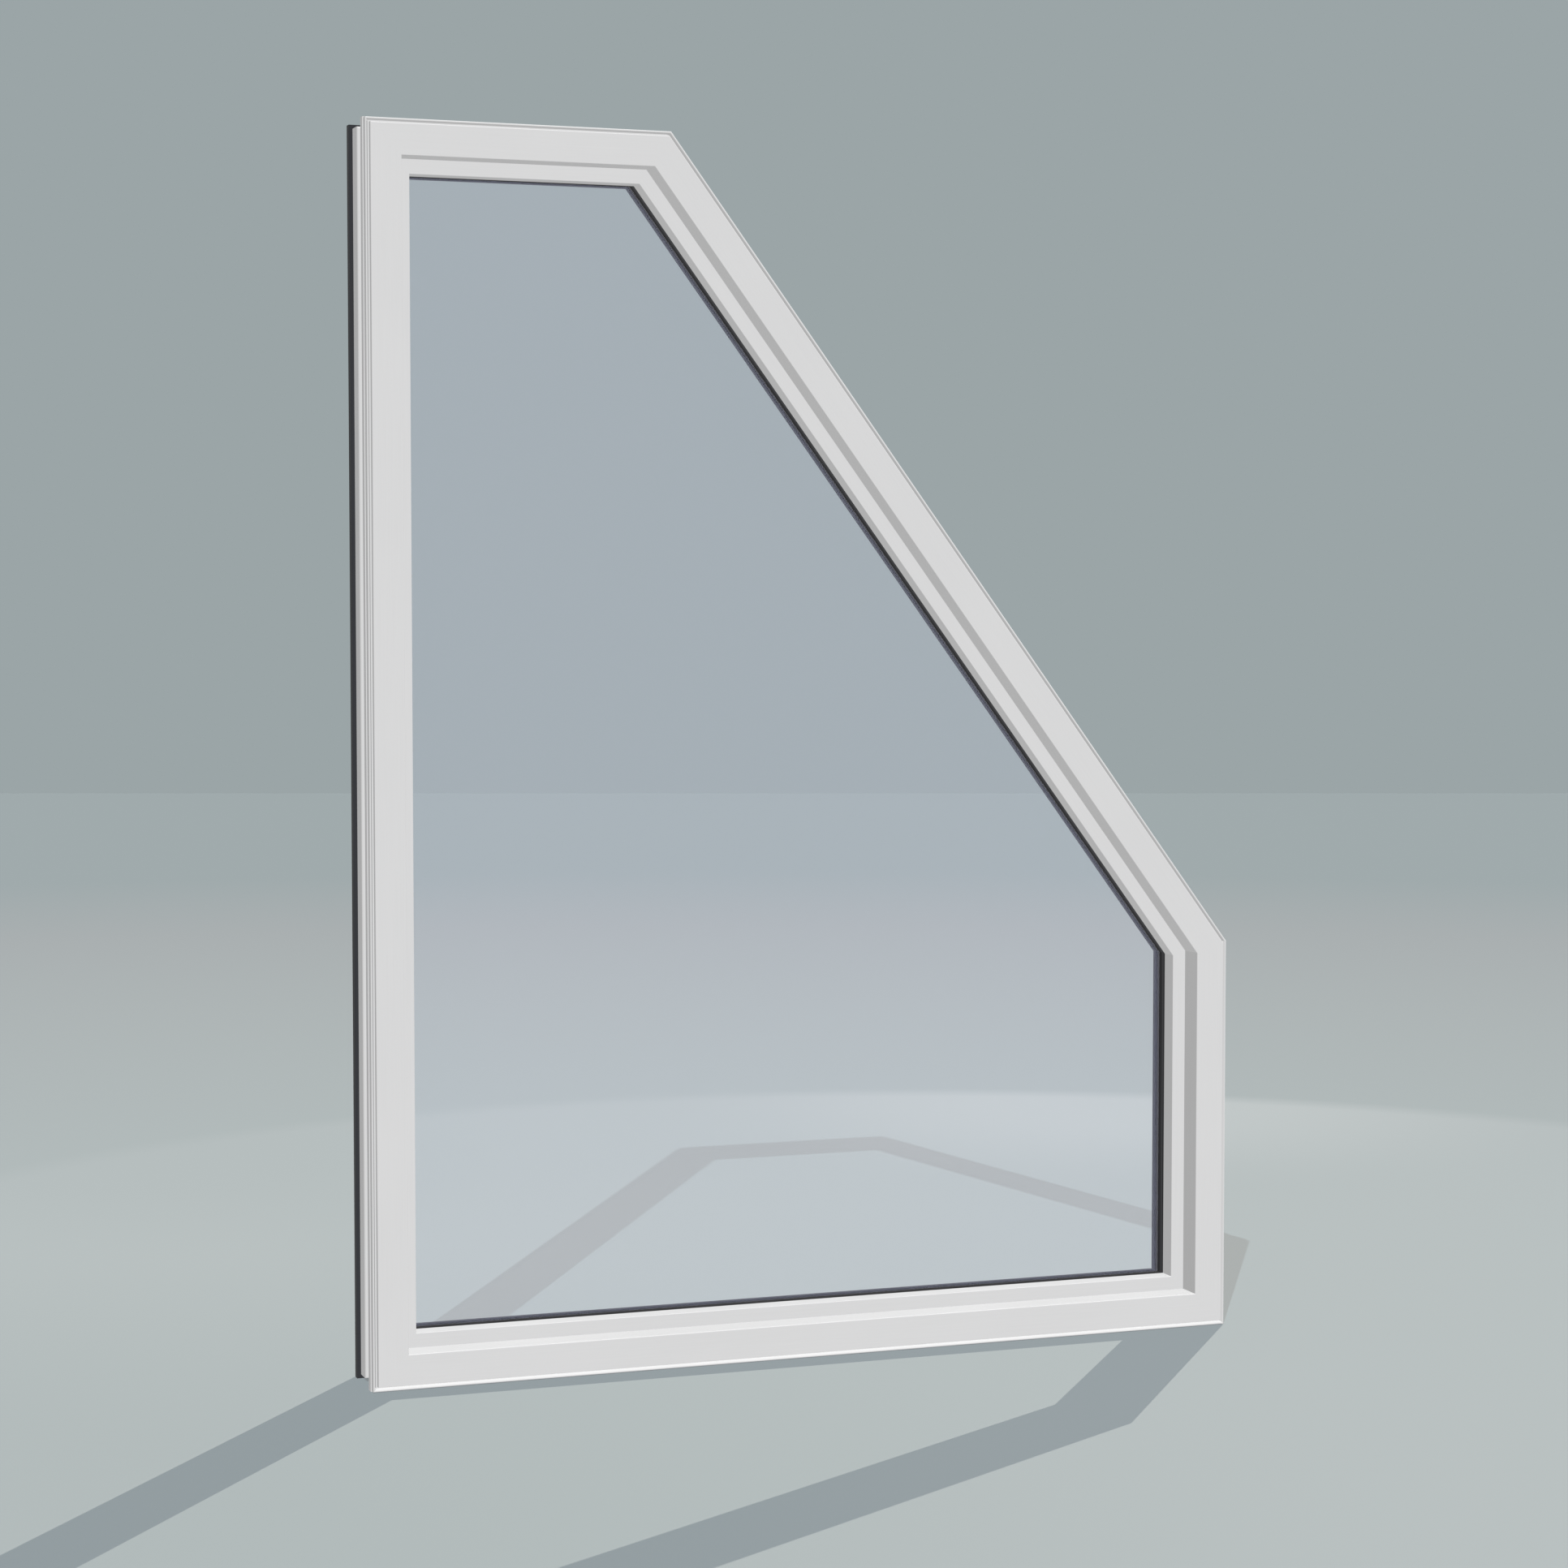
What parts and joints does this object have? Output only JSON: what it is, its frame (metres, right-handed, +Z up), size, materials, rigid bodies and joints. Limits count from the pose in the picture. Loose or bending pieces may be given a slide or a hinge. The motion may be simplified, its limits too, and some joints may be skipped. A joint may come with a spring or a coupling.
{
  "type": "polygon window",
  "caption": "Fixed polygon window with one sloping side, a stepped white frame, a sealed clear glass unit and a dark metal weather cover.",
  "frame": {"origin": "under the middle of the overall size, at the height of the sill's underside", "axes": "+Z up, +X to the right as the room sees the window, +Y from the white room side to the dark weather side"},
  "size_m": [0.9, 0.0776, 1.2],
  "materials": {
    "white_profile": "satin white",
    "white_bead": "satin white",
    "black_liner": "matt black",
    "gasket": "matt black",
    "weather_gasket": "matt dark grey",
    "spacer_bar": "matt black",
    "edge_seal": "matt black",
    "dark_cover": "semi-gloss dark grey powder coat",
    "glass": "clear",
    "setting_block": "matt"
  },
  "bodies": {
    "root": {"frame_sill": "white_profile", "frame_left_jamb": "white_profile", "frame_head": "white_profile", "frame_raking_head": "white_profile", "frame_right_jamb": "white_profile", "bead_sill": "white_bead", "bead_left_jamb": "white_bead", "bead_head": "white_bead", "bead_raking_head": "white_bead", "bead_right_jamb": "white_bead", "liner_sill": "black_liner", "liner_left_jamb": "black_liner", "liner_head": "black_liner", "liner_raking_head": "black_liner", "liner_right_jamb": "black_liner", "inner_gasket_sill": "gasket", "inner_gasket_left_jamb": "gasket", "inner_gasket_head": "gasket", "inner_gasket_raking_head": "gasket", "inner_gasket_right_jamb": "gasket", "outer_gasket_sill": "weather_gasket", "outer_gasket_left_jamb": "weather_gasket", "outer_gasket_head": "weather_gasket", "outer_gasket_raking_head": "weather_gasket", "outer_gasket_right_jamb": "weather_gasket", "spacer_sill": "spacer_bar", "spacer_left_jamb": "spacer_bar", "spacer_head": "spacer_bar", "spacer_raking_head": "spacer_bar", "spacer_right_jamb": "spacer_bar", "cover_sill": "dark_cover", "cover_left_jamb": "dark_cover", "cover_head": "dark_cover", "cover_raking_head": "dark_cover", "cover_right_jamb": "dark_cover", "inner_pane": "glass", "outer_pane": "glass", "edge_seal": "edge_seal", "setting_blocks": "setting_block"}
  },
  "joints": []
}
